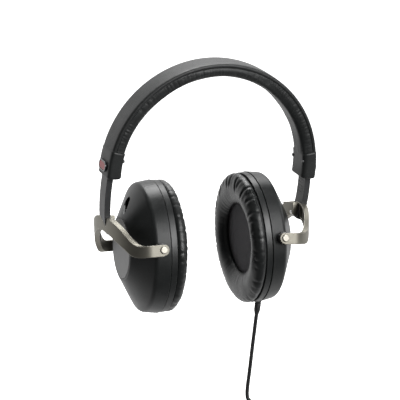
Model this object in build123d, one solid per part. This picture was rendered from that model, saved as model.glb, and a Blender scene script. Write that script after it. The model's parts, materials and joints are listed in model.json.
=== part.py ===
from build123d import *
import math
import os

# Closed-back over-ear headphones. Millimetres, +Z up, the wearer faces -Y and the left ear is at +X.
# The origin is the middle of the headband's underside, where it rests on the crown of the head.

# ---- headband ----
BAND_OUTER_R = 83.4          # outside radius of the headband's arch
BAND_THICK = 10.9            # cover and cushion together
BAND_WIDTH = 21.7
CUSHION_THICK = 4.6
CUSHION_HALF_ANGLE = 60.0    # the cushion spans this far each side of the crown
END_STRAIGHT = 4.8           # straight length below the arch's centre, at each end
SLEEVE_HEIGHT = 21.0
SPRING_HALF_ANGLE = 57.0
BAND_INNER_R = BAND_OUTER_R - BAND_THICK
ARCH_Z = -BAND_INNER_R
END_Z = ARCH_Z - END_STRAIGHT
SLEEVE_TOP_Z = END_Z + SLEEVE_HEIGHT

# ---- sliders: bars curved to an arc, running in curved channels ----
SLIDER_R = 160.0
SLIDER_CENTRE_X = -80.0      # arc centre of the left bar, beyond the middle plane
SLIDER_CENTRE_Z = -88.0
SLIDER_THICK = 4.6
SLIDER_WIDTH = 12.0
SLIDE_GAP = 0.35             # clearance on every side of the bar
EXPOSED_LEFT = 25.0          # bar showing below the sleeve at rest
EXTRA_RIGHT = 9.2            # the right bar is pulled out this much further
EXPOSED_MAX = 36.0
EXPOSED_MIN = 8.0
INSERTED_MIN = 12.0          # bar left inside at full extension
TUCKED = 9.0                 # bar's foot held inside the yoke

# ---- ear cups, in the cup's own frame: x to the rear, y along the long axis, z outward ----
PIVOT_X = 48.8               # pivot line of the left cup, from the middle plane
PIVOT_Z = -125.6
CUP_RAKE = 16.5              # long axis leans this far, top to the rear
TILT_LEFT = -5.5             # cup tilt in its yoke at rest; positive moves the top outward
TILT_RIGHT = -0.4
CUP_A = 40.2                 # half width, front to rear
CUP_B = 50.0                 # half height
GROOVE_Z = -8.0              # plane where the housing meets the baffle
BAFFLE_DEPTH = 4.8
WALL_Z = 3.5                 # where the side wall turns into the dome
DOME_Z = 16.8                # flat facet of the dome
FACET_A = 19.5
FACET_B = 24.0
SHELL = 2.2
PAD_DEPTH = 9.4
PAD_OPEN_A = 20.0
PAD_OPEN_B = 24.5

# ---- yokes ----
ARM_REACH = 43.0             # from the middle of the cup to the inner face of an arm end
ARM_THICK = 2.4
ARM_WIDTH = 8.6
PIN_R = 1.5

# ---- cord ----
CORD_R = 1.5
RELIEF_LENGTH = 14.0
HANK_LENGTH = 60.0
HANK_WIDTH = 26.4
HANK_DEPTH = 12.8
HANK_WAIST = 14.0             # width where the tie draws the runs together


def sector(r_in, r_out, a_from, a_to, width, cx, cz):
    """Slab between two arcs about a Y axis; angles in degrees from +X towards +Z."""
    mid = (a_from + a_to) / 2

    def at(r, a):
        return (cx + r * math.cos(math.radians(a)), cz + r * math.sin(math.radians(a)))

    with BuildPart() as slab:
        with BuildSketch(Plane.XZ.offset(-width / 2)):
            with BuildLine():
                ThreePointArc(at(r_out, a_from), at(r_out, mid), at(r_out, a_to))
                Line(at(r_out, a_to), at(r_in, a_to))
                ThreePointArc(at(r_in, a_to), at(r_in, mid), at(r_in, a_from))
                Line(at(r_in, a_from), at(r_out, a_from))
            make_face()
        extrude(amount=width)
    return slab.part


def box_at(dx, dy, dz, x=0.0, y=0.0, z=0.0):
    return Pos(x, y, z) * Box(dx, dy, dz)


def oval(a, b, z, depth, draft_a=None, draft_b=None):
    """Oval disc or cone from z to z + depth; the far end may be another oval."""
    if draft_a is None:
        return Pos(0, 0, z) * extrude(Sketch() + Ellipse(a, b), amount=depth)
    near = Plane(origin=(0, 0, z)) * Ellipse(a, b)
    far = Plane(origin=(0, 0, z + depth)) * Ellipse(draft_a, draft_b)
    return loft([near.face(), far.face()])


def disc(r, z, depth, x=0.0, y=0.0):
    return Pos(x, y, z + depth / 2) * Cylinder(r, depth)


# ---- places ----
def slide_turn(exposed_more):
    """Rotation about the slider's arc centre that pulls the bar out by this many millimetres."""
    angle = math.degrees(exposed_more / SLIDER_R)
    centre = Pos(SLIDER_CENTRE_X, 0, SLIDER_CENTRE_Z)
    return centre * Rot(0, angle, 0) * centre.inverse()


def cup_place(tilt):
    """The cup's frame in the left yoke: x rearward along the raked pivot line, z outward."""
    rake = math.radians(CUP_RAKE)
    rear = Vector(0, math.cos(rake), -math.sin(rake))
    plane = Plane(origin=(PIVOT_X, 0, PIVOT_Z), x_dir=rear, z_dir=(1, 0, 0))
    return plane.location * Rot(tilt, 0, 0)


def on_side(side, shape, tilt=None):
    """Put a left-handed shape on its side; cup shapes carry a tilt, slider shapes do not."""
    moved = shape if tilt is None else cup_place(tilt) * shape
    if side == "left":
        return moved
    return mirror(slide_turn(EXTRA_RIGHT) * moved, about=Plane.YZ)


def save(name, shape):
    export_step(shape, "parts/" + name + ".step")


os.makedirs("parts", exist_ok=True)

# ---- headband pieces ----

def channel():
    """Curved passage of the left slider through sleeve and cover."""
    low = math.degrees(math.asin((END_Z - 2 - SLIDER_CENTRE_Z) / SLIDER_R))
    depth = EXPOSED_MAX - EXPOSED_MIN + INSERTED_MIN + 1.5
    high = math.degrees((END_Z - SLIDER_CENTRE_Z + depth) / SLIDER_R)
    r_in = SLIDER_R - SLIDER_THICK / 2 - SLIDE_GAP
    r_out = SLIDER_R + SLIDER_THICK / 2 + SLIDE_GAP
    width = SLIDER_WIDTH + 2 * SLIDE_GAP
    return sector(r_in, r_out, low, high, width, SLIDER_CENTRE_X, SLIDER_CENTRE_Z)


slot_left = channel()
slots = slot_left + mirror(slot_left, about=Plane.YZ)
sleeve_angle = math.degrees(math.asin((SLEEVE_TOP_Z - ARCH_Z) / BAND_OUTER_R))
cushion_low = 90 - CUSHION_HALF_ANGLE
cushion_bed = sector(
    BAND_INNER_R - 1, BAND_INNER_R + CUSHION_THICK + 0.2, cushion_low, 180 - cushion_low,
    BAND_WIDTH + 2, 0, ARCH_Z,
)
spring_low = 90 - SPRING_HALF_ANGLE
SPRING_R = BAND_OUTER_R - 3.2
spring_bed = sector(SPRING_R - 0.6, SPRING_R + 0.6, spring_low - 1, 181 - spring_low, 14.4, 0, ARCH_Z)
cover = sector(BAND_INNER_R + 0.6, BAND_OUTER_R, 0, 180, BAND_WIDTH, 0, ARCH_Z)
cover -= box_at(200, 60, 60, z=SLEEVE_TOP_Z - 30)
cover = cover - cushion_bed - spring_bed - slots
save("headband_cover", cover)
save("headband_spring", sector(SPRING_R - 0.4, SPRING_R + 0.4, spring_low, 180 - spring_low, 14, 0, ARCH_Z))
cushion = sector(
    BAND_INNER_R, BAND_INNER_R + CUSHION_THICK, cushion_low, 180 - cushion_low, BAND_WIDTH - 1, 0, ARCH_Z
)
save("headband_cushion", cushion)

MARK_Z = END_Z + 8.2
MARK_LONG = 14.0             # front to rear
MARK_WIDE = 8.0
MARK_WALL = 1.2


def stadium(length, width, depth, z=0.0):
    """Slab with fully rounded ends."""
    slab = box_at(length, width, depth, z=z)
    return fillet(slab.edges().filter_by(Axis.Z), width / 2 - 0.1)


def sleeve():
    """Moulded end of the band that the slider runs into."""
    upper = sector(
        BAND_INNER_R + 0.4, BAND_OUTER_R + 0.35, 0, sleeve_angle + 4, BAND_WIDTH + 0.7, 0, ARCH_Z
    )
    upper -= box_at(200, 60, 60, z=SLEEVE_TOP_Z + 30)
    middle = (BAND_INNER_R + 0.4 + BAND_OUTER_R + 0.35) / 2
    lower = box_at(
        BAND_THICK - 0.05, BAND_WIDTH + 0.7, END_STRAIGHT, x=middle, z=ARCH_Z - END_STRAIGHT / 2
    )
    body = upper + lower
    body = fillet(body.edges().filter_by(GeomType.LINE).group_by(Axis.Z)[0], 1.2)
    recess = mark_place() * stadium(MARK_LONG + 0.2, MARK_WIDE + 0.2, 2.2)
    return body - slot_left - recess - detent_pocket() - sleeve_screw_bores()


def mark_place():
    """Outer face of the sleeve at the side mark: local z outward, local x along the band."""
    lift = math.asin((MARK_Z - ARCH_Z) / BAND_OUTER_R)
    point = (BAND_OUTER_R * math.cos(lift), 0, MARK_Z)
    out = Vector(math.cos(lift), 0, math.sin(lift))
    return Plane(origin=point, x_dir=(0, 1, 0), z_dir=out).location


DETENT_X = SLIDER_CENTRE_X + SLIDER_R - 4.8
DETENT_Z = END_Z + 9


def detent_pocket():
    return box_at(2.2, 9.4, 9.4, x=DETENT_X + 0.2, z=DETENT_Z)


def detent_spring():
    """Leaf that clicks into the bar's notches, held in a pocket on the bar's inner side."""
    return box_at(0.5, 9.0, 9.0, x=DETENT_X, z=DETENT_Z)


SCREW_Y = 8.6
SCREW_Z = END_Z + 13.5


def sleeve_screw_bores():
    bore = Pos(BAND_INNER_R + 1.2, SCREW_Y, SCREW_Z) * Rot(0, 90, 0) * Cylinder(1.3, 8)
    return bore + Pos(0, -2 * SCREW_Y, 0) * bore


def sleeve_screws():
    shaft = Pos(BAND_INNER_R + 1.9, SCREW_Y, SCREW_Z) * Rot(0, 90, 0) * Cylinder(1.2, 6)
    return Compound(children=[shaft, Pos(0, -2 * SCREW_Y, 0) * shaft])


for side in ("left", "right"):
    flip = (lambda s: s) if side == "left" else (lambda s: mirror(s, about=Plane.YZ))
    save("end_sleeve_" + side, flip(sleeve()))
    bezel = stadium(MARK_LONG, MARK_WIDE, 2.6, z=0.35)
    bezel -= stadium(MARK_LONG - 2 * MARK_WALL, MARK_WIDE - 2 * MARK_WALL, 1.4, z=1.2)
    insert = stadium(MARK_LONG - 2 * MARK_WALL - 0.2, MARK_WIDE - 2 * MARK_WALL - 0.2, 0.9, z=1.05)
    save("side_mark_bezel_" + side, flip(mark_place() * bezel))
    save("side_mark_insert_" + side, flip(mark_place() * insert))
    save("detent_spring_" + side, flip(detent_spring()))
    save("sleeve_screws_" + side, flip(sleeve_screws()))

# ---- slider bars ----
EXPOSED_ANGLE = math.degrees(math.asin((END_Z - EXPOSED_LEFT - SLIDER_CENTRE_Z) / SLIDER_R))
FOOT_R = 60.0                # the bar's foot curves in more tightly, towards the yoke
FOOT_LENGTH = TUCKED + EXPOSED_MIN - 0.6


def along(length):
    return math.degrees(length / SLIDER_R)


def slider_bar(grow=0.0):
    half = SLIDER_THICK / 2 + grow
    knee = EXPOSED_ANGLE + along(FOOT_LENGTH - TUCKED)
    top = EXPOSED_ANGLE + along(EXPOSED_MAX + INSERTED_MIN)
    width = SLIDER_WIDTH + 2 * grow
    upper = sector(
        SLIDER_R - half, SLIDER_R + half, knee, top, width, SLIDER_CENTRE_X, SLIDER_CENTRE_Z
    )
    reach = SLIDER_R - FOOT_R
    foot_x = SLIDER_CENTRE_X + reach * math.cos(math.radians(knee))
    foot_z = SLIDER_CENTRE_Z + reach * math.sin(math.radians(knee))
    low = knee - math.degrees(FOOT_LENGTH / FOOT_R)
    foot = sector(FOOT_R - half, FOOT_R + half, low, knee, width, foot_x, foot_z)
    return upper + foot


def notches():
    """Row of shallow detent grooves across the bar's inner face."""
    pitch = 2.5
    depth = 0.35
    bars = []
    for step in range(11):
        angle = EXPOSED_ANGLE + along(EXPOSED_MIN + 4 + pitch * step)
        x = SLIDER_CENTRE_X + (SLIDER_R - SLIDER_THICK / 2) * math.cos(math.radians(angle))
        z = SLIDER_CENTRE_Z + (SLIDER_R - SLIDER_THICK / 2) * math.sin(math.radians(angle))
        bars.append(Pos(x, 0, z) * Rot(90, 0, 0) * Cylinder(depth, 8.0))
    return bars


# ---- yoke, in the cup's frame at zero tilt ----
ARCH_BASE = 8.0
CROWN_Z = 33.0
OUTER_A = ARM_REACH + ARM_THICK


def plan_ring(outer_a, outer_h, inner_a, inner_h):
    """U seen along the cup's long axis, in x and z: straight legs and an elliptical arch."""
    ring = Ellipse(outer_a, outer_h) - Ellipse(inner_a, inner_h)
    ring &= Pos(0, outer_h) * Rectangle(2 * outer_a, 2 * outer_h)
    leg_width = outer_a - inner_a
    leg_length = ARCH_BASE + ARM_WIDTH / 2
    leg = Rectangle(leg_width, leg_length)
    for sign in (-1, 1):
        ring += Pos(sign * (outer_a - leg_width / 2), -leg_length / 2) * leg
    return Pos(0, ARCH_BASE) * ring


def front_band(inset=0.0):
    """Outline of the yoke seen from outside, in x and y: it rises from both pivots to the crossbar."""
    top = [(46.5, 4.3), (41.5, 3.8), (37, 7), (31, 13.8), (24, 19.4), (14, 24), (0, 26)]
    low = [(0, 15.6), (10, 14), (20, 9.6), (28, 4.6), (33.5, 0.2), (38, -3.6), (42, -4.8), (46.5, -4.3)]
    top = [(x, y - inset) for x, y in top]
    low = [(x, y + inset) for x, y in low]
    far_top = [(-x, y) for x, y in reversed(top[:-1])]
    far_low = [(-x, y) for x, y in reversed(low[1:])]
    with BuildSketch() as band:
        with BuildLine():
            upper = Spline(*top, *far_top)
            lower = Spline(*far_low, *low)
            Line(upper @ 1, lower @ 0)
            Line(lower @ 1, upper @ 0)
        make_face()
    return band.sketch


def yoke():
    lay_flat = Rot(90, 0, 0)
    thick = extrude(plan_ring(OUTER_A, CROWN_Z - ARCH_BASE, ARM_REACH, 20.4), amount=40, both=True)
    plan = lay_flat * thick
    front = extrude(front_band(), amount=60, both=True)
    body = plan & front
    hollow = lay_flat * extrude(plan_ring(OUTER_A - 1.7, 23.2, ARM_REACH - 1, 18), amount=40, both=True)
    core = extrude(front_band(1.4), amount=60, both=True) & hollow
    core &= box_at(66, 60, 60, z=30)
    for x in (-26, -19, -12, 12, 19, 26):
        core -= box_at(1.2, 80, 80, x=x, z=30)
    socket = box_at(17, 9.6, 8.6, y=20.6, z=CROWN_Z - 5.3)
    body = body - core + (socket & (lay_flat * extrude(
        Pos(0, ARCH_BASE) * Ellipse(OUTER_A, CROWN_Z - ARCH_BASE), amount=40, both=True)))
    for sign in (-1, 1):
        body -= Pos(sign * (ARM_REACH + 1), 0, 0) * Rot(0, 90, 0) * Cylinder(PIN_R + 0.02, 8)
    arm_end = Rot(0, 90, 0) * Cylinder(ARM_WIDTH / 2 - 0.1, 130)
    body -= box_at(130, 20, 10, z=-5) - arm_end
    return cup_place(0) * body - slider_bar()


def yoke_pins():
    """Two riveted pivot pins with domed heads outside the arms."""
    pins = []
    for sign in (-1, 1):
        stem = Cylinder(PIN_R, 7.2)
        head = Pos(0, 0, 4.17) * Cylinder(2.8, 1.1)
        head = fillet(head.edges().group_by(Axis.Z)[-1], 0.7)
        pin = Pos(sign * (OUTER_A - 3.6), 0, 0) * Rot(0, 90 * sign, 0) * (stem + head)
        pins.append(pin)
    return Compound(children=pins)


def slider_screw():
    """Screw through the bar's foot into the yoke, its head on the inner side."""
    axis = Pos(76.2, 0, END_Z - EXPOSED_LEFT - 4.6) * Rot(0, 77, 0)
    return axis * (Pos(0, 0, -3.3) * Cylinder(2.0, 1.6) + Pos(0, 0, 0.2) * Cylinder(1.2, 6.6))


# ---- cup pieces, in the cup's frame ----
def dome(shrink=0.0):
    """Side wall and coned back of the housing, with a flat oval facet."""
    wall = oval(CUP_A - shrink, CUP_B - shrink, GROOVE_Z + 0.3, WALL_Z - GROOVE_Z - 0.3,
                CUP_A - 1.4 - shrink, CUP_B - 1.6 - shrink)
    cone = oval(CUP_A - 1.4 - shrink, CUP_B - 1.6 - shrink, WALL_Z, DOME_Z - WALL_Z - shrink / 2,
                FACET_A - shrink / 2, FACET_B - shrink / 2)
    return wall + cone


def port_outline(grow=0.0):
    wide = Pos(-1.5, 34.0) * Circle(3.9 + grow)
    narrow = Pos(-5.0, 27.4) * Circle(1.8 + grow)
    return make_hull((wide + narrow).edges())


def gland_axis(drop):
    """A point on the cord's exit line, this far below the cup's lowest edge, in world millimetres."""
    exit_point = cup_place(TILT_LEFT) * Pos(8.9, -48.0, -1.6)
    where = exit_point.position
    return Vector(where.X, where.Y, where.Z - drop)


def upright(point):
    return Pos(point.X, point.Y, point.Z)


def housing(side):
    outer = dome()
    outer = fillet(outer.edges().filter_by_position(Axis.Z, WALL_Z - 0.1, WALL_Z + 0.1), 4.0)
    outer = fillet(outer.edges().filter_by_position(Axis.Z, DOME_Z - 0.1, DOME_Z + 0.1), 1.2)
    inner = Pos(0, 0, -0.01) * dome(SHELL)
    body = outer - inner
    body -= extrude(Pos(0, 0, 4) * port_outline(), amount=20)
    body -= oval(FACET_A - 1.6, FACET_B - 1.6, DOME_Z - 0.7, 2)
    for sign in (-1, 1):
        body -= Pos(sign * 39, 0, 0) * Rot(0, 90, 0) * Cylinder(2.8, 8)
    if side == "left":
        world_bore = upright(gland_axis(-6)) * Cylinder(3.1, 20)
        body -= cup_place(TILT_LEFT).inverse() * world_bore
    return body


def port_insert():
    """Dark vent cup set into the teardrop port, with a small round button at its narrow end."""
    cup = extrude(Pos(0, 0, 4.6) * port_outline(-0.15), amount=1.4)
    button = Pos(-5.0, 27.4, 9.7) * Cylinder(1.5, 8.2)
    return cup + button


def baffle():
    """Ring and plate between housing and pad, carrying the driver."""
    rim = oval(CUP_A - 0.4, CUP_B - 0.4, GROOVE_Z - BAFFLE_DEPTH, BAFFLE_DEPTH - 0.3)
    rim += oval(CUP_A - SHELL - 1.2, CUP_B - SHELL - 1.2, GROOVE_Z - 1, 3.4)
    rim -= oval(CUP_A - 6, CUP_B - 6, GROOVE_Z - BAFFLE_DEPTH + 2.0, 12)
    rim -= disc(21.2, GROOVE_Z - 10, 30)
    for x, y in BAFFLE_SCREWS:
        rim -= disc(1.3, GROOVE_Z - 10, 20, x, y)
    return rim


BAFFLE_SCREWS = [(-24, 27), (24, 27), (-24, -27), (24, -27)]


def baffle_screws():
    parts = []
    for x, y in BAFFLE_SCREWS:
        head = disc(2.4, GROOVE_Z - BAFFLE_DEPTH + 2.0, 1.5, x, y)
        parts.append(head + disc(1.2, GROOVE_Z - BAFFLE_DEPTH + 0.2, 2.4, x, y))
    return Compound(children=parts)


def driver_frame():
    ring = disc(21.0, GROOVE_Z - 4.6, 6.0) - disc(18.6, GROOVE_Z - 10, 30)
    floor = disc(21.0, GROOVE_Z + 1.4, 1.4) - disc(8.2, GROOVE_Z, 10)
    for turn in range(6):
        angle = math.radians(60 * turn)
        floor -= disc(2.6, GROOVE_Z, 10, 13.6 * math.cos(angle), 13.6 * math.sin(angle))
    return ring + floor


def driver_magnet():
    return disc(8.0, GROOVE_Z - 1.4, 7.0)


def driver_diaphragm():
    """Thin membrane with a domed middle, held in the driver frame."""
    plate = disc(18.4, GROOVE_Z - 3.2, 0.4)
    return plate + disc(7.0, GROOVE_Z - 3.8, 0.8)


def driver_grille():
    """Perforated guard over the driver."""
    plate = disc(20.6, GROOVE_Z - 5.9, 1.0)
    for ring_r, count in ((5.0, 6), (10.0, 12), (15.0, 18)):
        for step in range(count):
            angle = 2 * math.pi * step / count
            plate -= disc(1.2, GROOVE_Z - 8, 8, ring_r * math.cos(angle), ring_r * math.sin(angle))
    return plate


def damping_foam():
    return oval(22, 24.5, 2.6, 3.4) - disc(6, 0, 9)


def baffle_cloth():
    """Cloth disc stretched across the inside of the pad."""
    return oval(PAD_OPEN_A + 8, PAD_OPEN_B + 8, PAD_FLOOR_Z - 0.6, 0.6)


PAD_FLOOR_Z = GROOVE_Z - BAFFLE_DEPTH - 1.2
PAD_FACE_Z = GROOVE_Z - BAFFLE_DEPTH - PAD_DEPTH


def ear_pad():
    """Oval ring cushion: it clips on at the baffle and its inner lip closes on the cloth."""
    ring = oval(CUP_A + 0.2, CUP_B + 0.2, PAD_FACE_Z, PAD_DEPTH)
    ring = fillet(ring.edges().group_by(Axis.Z)[0], 4.6)
    hole = oval(PAD_OPEN_A, PAD_OPEN_B, PAD_FACE_Z - 1, PAD_DEPTH + 2)
    ring -= hole
    ring = fillet(ring.edges().group_by(Axis.Z)[0], 3.4)
    ring -= oval(PAD_OPEN_A + 8.2, PAD_OPEN_B + 8.2, PAD_FLOOR_Z - 0.65, 10)
    return ring


def pivot_bushes():
    parts = []
    for sign in (-1, 1):
        flange = Pos(sign * 41.3, 0, 0) * Rot(0, 90, 0) * Cylinder(4.6, 2.8)
        spigot = Pos(sign * 38.5, 0, 0) * Rot(0, 90, 0) * Cylinder(2.8, 4.6)
        bore = Pos(sign * 39, 0, 0) * Rot(0, 90, 0) * Cylinder(PIN_R + 0.05, 12)
        parts.append(flange + spigot - bore)
    return Compound(children=parts)


def terminal_board():
    return box_at(13, 7, 1.4, x=0, y=-26.5, z=1.0)


CUP_PIECES = {
    "baffle": baffle,
    "baffle_screws": baffle_screws,
    "driver_frame": driver_frame,
    "driver_magnet": driver_magnet,
    "driver_diaphragm": driver_diaphragm,
    "driver_grille": driver_grille,
    "damping_foam": damping_foam,
    "baffle_cloth": baffle_cloth,
    "ear_pad": ear_pad,
    "port_insert": port_insert,
    "terminal_board": terminal_board,
}

bar = slider_bar()
for notch in notches():
    bar -= notch
fork = yoke()
screw = slider_screw()
bar -= screw
fork -= screw
for side in ("left", "right"):
    tilt = TILT_LEFT if side == "left" else TILT_RIGHT
    save("slider_bar_" + side, on_side(side, bar))
    save("slider_screw_" + side, on_side(side, screw))
    save("yoke_" + side, on_side(side, fork))
    save("yoke_pins_" + side, on_side(side, yoke_pins(), 0))
    shell = housing(side)
    bushes = pivot_bushes()
    save("housing_" + side, on_side(side, shell - bushes, tilt))
    save("pivot_bushes_" + side, on_side(side, bushes, tilt))
    facet = oval(FACET_A - 1.8, FACET_B - 1.8, DOME_Z - 0.7, 0.9)
    save("back_plate_" + side, on_side(side, facet, tilt))
    for name, make in CUP_PIECES.items():
        save(name + "_" + side, on_side(side, make(), tilt))

# ---- cord: straight down from the left cup, then a tied hank with its plug below ----
lead_top = gland_axis(RELIEF_LENGTH)
collar = upright(gland_axis(-1.6)) * Cylinder(3.0, 6.4)
relief = upright(gland_axis((RELIEF_LENGTH + 1.6) / 2)) * Rot(180, 0, 0) * Cone(
    2.6, CORD_R + 0.25, RELIEF_LENGTH - 1.6
)
save("strain_relief", collar + relief)

ROUTE_STEPS = [(0, 0, 0), (0, 0, -22), (0.5, 0.3, -46), (0.3, 0.9, -71)]
route = [lead_top + Vector(*step) for step in ROUTE_STEPS]
radii = []
for before, here, after in zip(route, route[1:], route[2:]):
    turn = (here - before).get_angle(after - here)
    run = min((here - before).length, (after - here).length)
    radii.append(0.45 * run / math.tan(math.radians(turn / 2)))
print("cord radii", [round(r, 1) for r in radii])
path = FilletPolyline(*route, radius=radii)
lead_section = Plane(origin=path @ 0, z_dir=path % 0) * Circle(CORD_R)
lead = sweep(lead_section, path=path)
print("cord volume against section times length", lead.volume, math.pi * CORD_R ** 2 * path.length)
save("cord_lead", lead)

end = route[-1]
hank_middle = Pos(end.X, end.Y, end.Z - HANK_LENGTH / 2)
hank_outline = Rot(90, 0, 0) * SlotOverall(HANK_LENGTH, HANK_WIDTH, rotation=90)
hank = extrude(hank_outline, amount=HANK_DEPTH / 2, both=True)
hank = hank_middle * fillet(hank.edges(), 4.0)
for sign in (-1, 1):
    nip = Pos(sign * (HANK_WAIST / 2 + 10), 0, 0) * Box(20, HANK_DEPTH + 4, 10)
    nip += Pos(sign * (HANK_WAIST / 2 + 20), 0, 0) * Rot(90, 0, 0) * Cylinder(20, HANK_DEPTH + 4)
    hank -= hank_middle * nip
top_cut = Pos(end.X, end.Y, end.Z + 4.85) * Box(40, 40, 10)
low_cut = Pos(end.X, end.Y, end.Z - HANK_LENGTH - 4.85) * Box(40, 40, 10)
hank = hank - top_cut - low_cut
save("cord_hank", hank)
tie = hank_middle * Box(HANK_WAIST + 2.4, HANK_DEPTH + 2.4, 7)
tie = fillet(tie.edges().filter_by(Axis.Z), 1.4) - hank
save("cord_tie", tie)

# ---- plug, hanging below the hank ----
PLUG_X = end.X
PLUG_Y = end.Y
PLUG_TOP_Z = end.Z - HANK_LENGTH + 0.15
plug_relief_length = 11.0
plug_body_length = 19.0
PIN_LENGTH = 14.0
PLUG_PIN_R = 1.75


def plug_part(shape, drop, length):
    return Pos(PLUG_X, PLUG_Y, PLUG_TOP_Z - drop - length / 2) * shape


plug_relief = Rot(180, 0, 0) * Cone(CORD_R + 0.25, 2.9, plug_relief_length)
save("plug_relief", plug_part(plug_relief, 0, plug_relief_length))
body = Cylinder(4.3, plug_body_length)
body = fillet(body.edges().filter_by(GeomType.CIRCLE), 0.8)
save("plug_body", plug_part(body, plug_relief_length, plug_body_length))
collar = Cylinder(3.0, 1.2)
collar_drop = plug_relief_length + plug_body_length
save("plug_collar", plug_part(collar, collar_drop, 1.2))
pin_drop = collar_drop + 1.2
pin = Cylinder(PLUG_PIN_R, PIN_LENGTH)
pin = fillet(pin.edges().group_by(Axis.Z)[0], 0.9)
for height in (2.9, 5.6):
    band = Pos(0, 0, height - PIN_LENGTH / 2) * (Cylinder(3, 0.7) - Cylinder(PLUG_PIN_R - 0.35, 0.7))
    pin -= band
save("plug_pin", plug_part(pin, pin_drop, PIN_LENGTH))
rings = []
for height in (2.9, 5.6):
    ring = Cylinder(PLUG_PIN_R, 0.7) - Cylinder(PLUG_PIN_R - 0.35, 0.7)
    rings.append(plug_part(Pos(0, 0, height - PIN_LENGTH / 2) * ring, pin_drop, PIN_LENGTH))
save("plug_rings", Compound(children=rings))
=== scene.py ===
import json
import math
import random

import bmesh
import bpy
from bpy.props import FloatProperty, FloatVectorProperty, PointerProperty
from mathutils import Matrix, Vector, noise


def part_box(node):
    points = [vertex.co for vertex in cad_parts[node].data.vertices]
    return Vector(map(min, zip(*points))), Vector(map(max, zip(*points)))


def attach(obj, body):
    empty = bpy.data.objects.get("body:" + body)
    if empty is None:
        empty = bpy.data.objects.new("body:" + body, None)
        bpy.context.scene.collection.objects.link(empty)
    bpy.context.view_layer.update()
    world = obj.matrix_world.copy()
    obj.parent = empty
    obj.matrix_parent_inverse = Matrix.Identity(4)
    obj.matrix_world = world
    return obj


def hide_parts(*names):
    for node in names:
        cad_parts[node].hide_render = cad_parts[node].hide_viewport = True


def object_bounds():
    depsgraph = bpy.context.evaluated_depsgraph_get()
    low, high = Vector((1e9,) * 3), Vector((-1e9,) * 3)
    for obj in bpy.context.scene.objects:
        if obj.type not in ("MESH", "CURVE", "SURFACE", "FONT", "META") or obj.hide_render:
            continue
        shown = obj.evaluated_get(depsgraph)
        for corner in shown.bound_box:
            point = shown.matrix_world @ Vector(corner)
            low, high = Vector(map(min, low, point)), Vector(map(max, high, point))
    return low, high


bl_info = {
    "name": "Over-ear headphones",
    "version": (1, 0, 0),
    "blender": (4, 5, 0),
    "location": "3D View > Sidebar > Headphones",
    "description": "Padding, cord, finishes and studio for a pair of closed-back headphones",
    "category": "Object",
}

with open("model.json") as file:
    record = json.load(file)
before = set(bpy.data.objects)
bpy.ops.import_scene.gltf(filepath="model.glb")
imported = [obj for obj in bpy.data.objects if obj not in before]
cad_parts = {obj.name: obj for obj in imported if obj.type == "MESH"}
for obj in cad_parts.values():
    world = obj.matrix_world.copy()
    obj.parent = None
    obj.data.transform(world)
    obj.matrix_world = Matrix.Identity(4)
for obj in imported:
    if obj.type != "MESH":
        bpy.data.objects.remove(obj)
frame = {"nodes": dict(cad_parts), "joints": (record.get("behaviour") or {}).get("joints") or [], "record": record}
CAD_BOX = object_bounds()
MM = 0.001
SIDES = ("left", "right")
JOINTS = {joint["name"]: joint for joint in frame["joints"]}
MEMBERS = frame["record"]["behaviour"]["bodies"]

# ---- sizes taken from the frame, in millimetres ----
BAND_LOW, BAND_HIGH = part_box("headband_cover")
SLEEVE_LOW, SLEEVE_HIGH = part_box("end_sleeve_left")
SLEEVE_TOP_Z = SLEEVE_HIGH.z / MM
SLEEVE_END_Z = SLEEVE_LOW.z / MM
BAND_DROP = (BAND_HIGH.z - BAND_LOW.z) / MM
BAND_OUTER_R = ((BAND_HIGH.x / MM) ** 2 + BAND_DROP ** 2) / (2 * BAND_DROP)
BAND_INNER_R = BAND_OUTER_R - BAND_HIGH.z / MM
ARCH_Z = -BAND_INNER_R


# ---- places ----
def cup_axes(side):
    """Pivot point and unit axes of one cup: to the rear, up its long side, and outward."""
    joint = JOINTS["cup_" + side + "_tilt"]
    hand = 1 if side == "left" else -1
    rear = (Vector(joint["axis"]) * hand).normalized()
    low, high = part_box("baffle_cloth_" + side)
    back_low, back_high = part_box("back_plate_" + side)
    outward = (back_low + back_high) - (low + high)
    outward = (outward - rear * outward.dot(rear)).normalized()
    up = outward.cross(rear) * hand
    return Vector(joint["pos_m"]), rear, up, outward


def put(axes, x, y, z):
    """World point of a place given in a cup's millimetres."""
    pivot, rear, up, outward = axes
    return pivot + (rear * x + up * y + outward * z) * MM


# ---- mesh helpers ----
def grid_mesh(name, rows, close_rows=True, close_ends=False, cap_ends=False):
    """Quads over rows of points. Rows may close on themselves, on each other, or be capped."""
    mesh = bpy.data.meshes.new(name)
    wide = len(rows[0])
    points = [point for row in rows for point in row]
    faces = []
    for i in range(len(rows) if close_ends else len(rows) - 1):
        start, after = i * wide, (i + 1) % len(rows) * wide
        for j in range(wide if close_rows else wide - 1):
            k = (j + 1) % wide
            faces.append((start + j, start + k, after + k, after + j))
    if cap_ends:
        faces.append(tuple(range(wide)))
        faces.append(tuple(range((len(rows) - 1) * wide, len(rows) * wide)))
    mesh.from_pydata(points, [], faces)
    tidy = bmesh.new()
    tidy.from_mesh(mesh)
    bmesh.ops.recalc_face_normals(tidy, faces=tidy.faces)
    tidy.to_mesh(mesh)
    tidy.free()
    mesh.shade_smooth()
    piece = bpy.data.objects.new(name, mesh)
    bpy.context.scene.collection.objects.link(piece)
    return piece


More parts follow.
